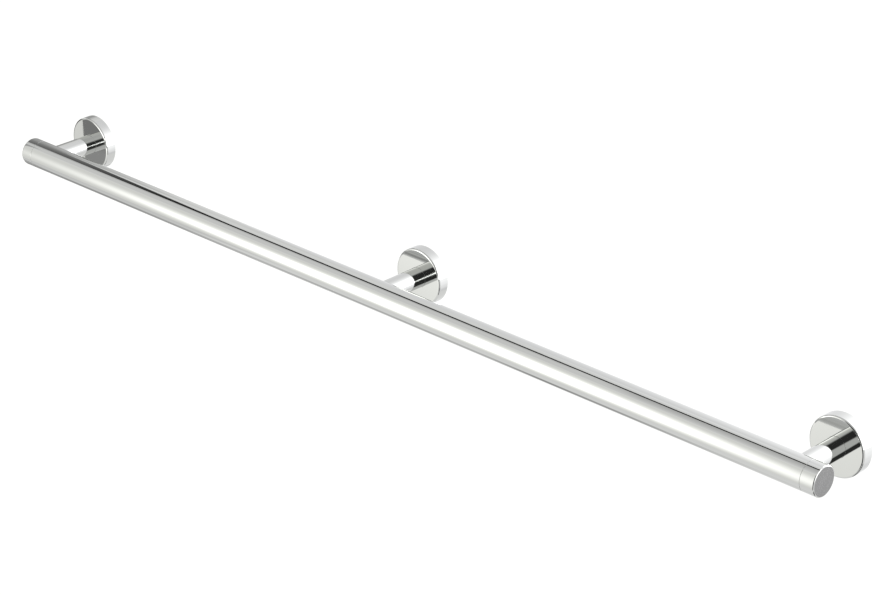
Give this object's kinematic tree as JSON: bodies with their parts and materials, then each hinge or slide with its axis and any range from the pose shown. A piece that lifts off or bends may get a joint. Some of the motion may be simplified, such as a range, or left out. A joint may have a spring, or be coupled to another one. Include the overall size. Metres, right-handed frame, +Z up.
{
  "type": "grab rail",
  "caption": "Straight wall-mounted grab rail: a round chromed tube on round posts, with capped ends and round sliding covers over screwed wall plates.",
  "frame": {"origin": "on the wall plane, at the centre of the middle wall plate's back face, on the middle post's axis", "axes": "+X along the rail, +Y into the wall, +Z up"},
  "size_m": [1.15, 0.089, 0.063],
  "materials": {
    "polished_chrome": "polished",
    "plated_steel": "satin",
    "screw_steel": "satin",
    "ring_rubber": "matte",
    "bush_nylon": "satin"
  },
  "bodies": {
    "rail_frame": {"rail_tube": "polished_chrome", "end_cap_left": "polished_chrome", "cap_ring_left": "ring_rubber", "end_cap_right": "polished_chrome", "cap_ring_right": "ring_rubber", "wall_base_left": "plated_steel", "cover_ring_left": "ring_rubber", "post_left": "polished_chrome", "grub_screw_left": "screw_steel", "post_screw_left": "screw_steel", "spring_washer_left": "screw_steel", "saddle_nut_left": "plated_steel", "wall_base_middle": "plated_steel", "cover_ring_middle": "ring_rubber", "post_middle": "polished_chrome", "grub_screw_middle": "screw_steel", "post_screw_middle": "screw_steel", "spring_washer_middle": "screw_steel", "saddle_nut_middle": "plated_steel", "wall_base_right": "plated_steel", "cover_ring_right": "ring_rubber", "post_right": "polished_chrome", "grub_screw_right": "screw_steel", "post_screw_right": "screw_steel", "spring_washer_right": "screw_steel", "saddle_nut_right": "plated_steel"},
    "left_cover": {"cover_left": "polished_chrome", "cover_glide_left": "bush_nylon"},
    "middle_cover": {"cover_middle": "polished_chrome", "cover_glide_middle": "bush_nylon"},
    "right_cover": {"cover_right": "polished_chrome", "cover_glide_right": "bush_nylon"}
  },
  "joints": [
    {"name": "cover_slide_left", "type": "slide", "parent": "rail_frame", "child": "left_cover", "axis": [0, -1, 0], "range_m": [0, 0.043]},
    {"name": "cover_slide_middle", "type": "slide", "parent": "rail_frame", "child": "middle_cover", "axis": [0, -1, 0], "range_m": [0, 0.043]},
    {"name": "cover_slide_right", "type": "slide", "parent": "rail_frame", "child": "right_cover", "axis": [0, -1, 0], "range_m": [0, 0.043]}
  ]
}
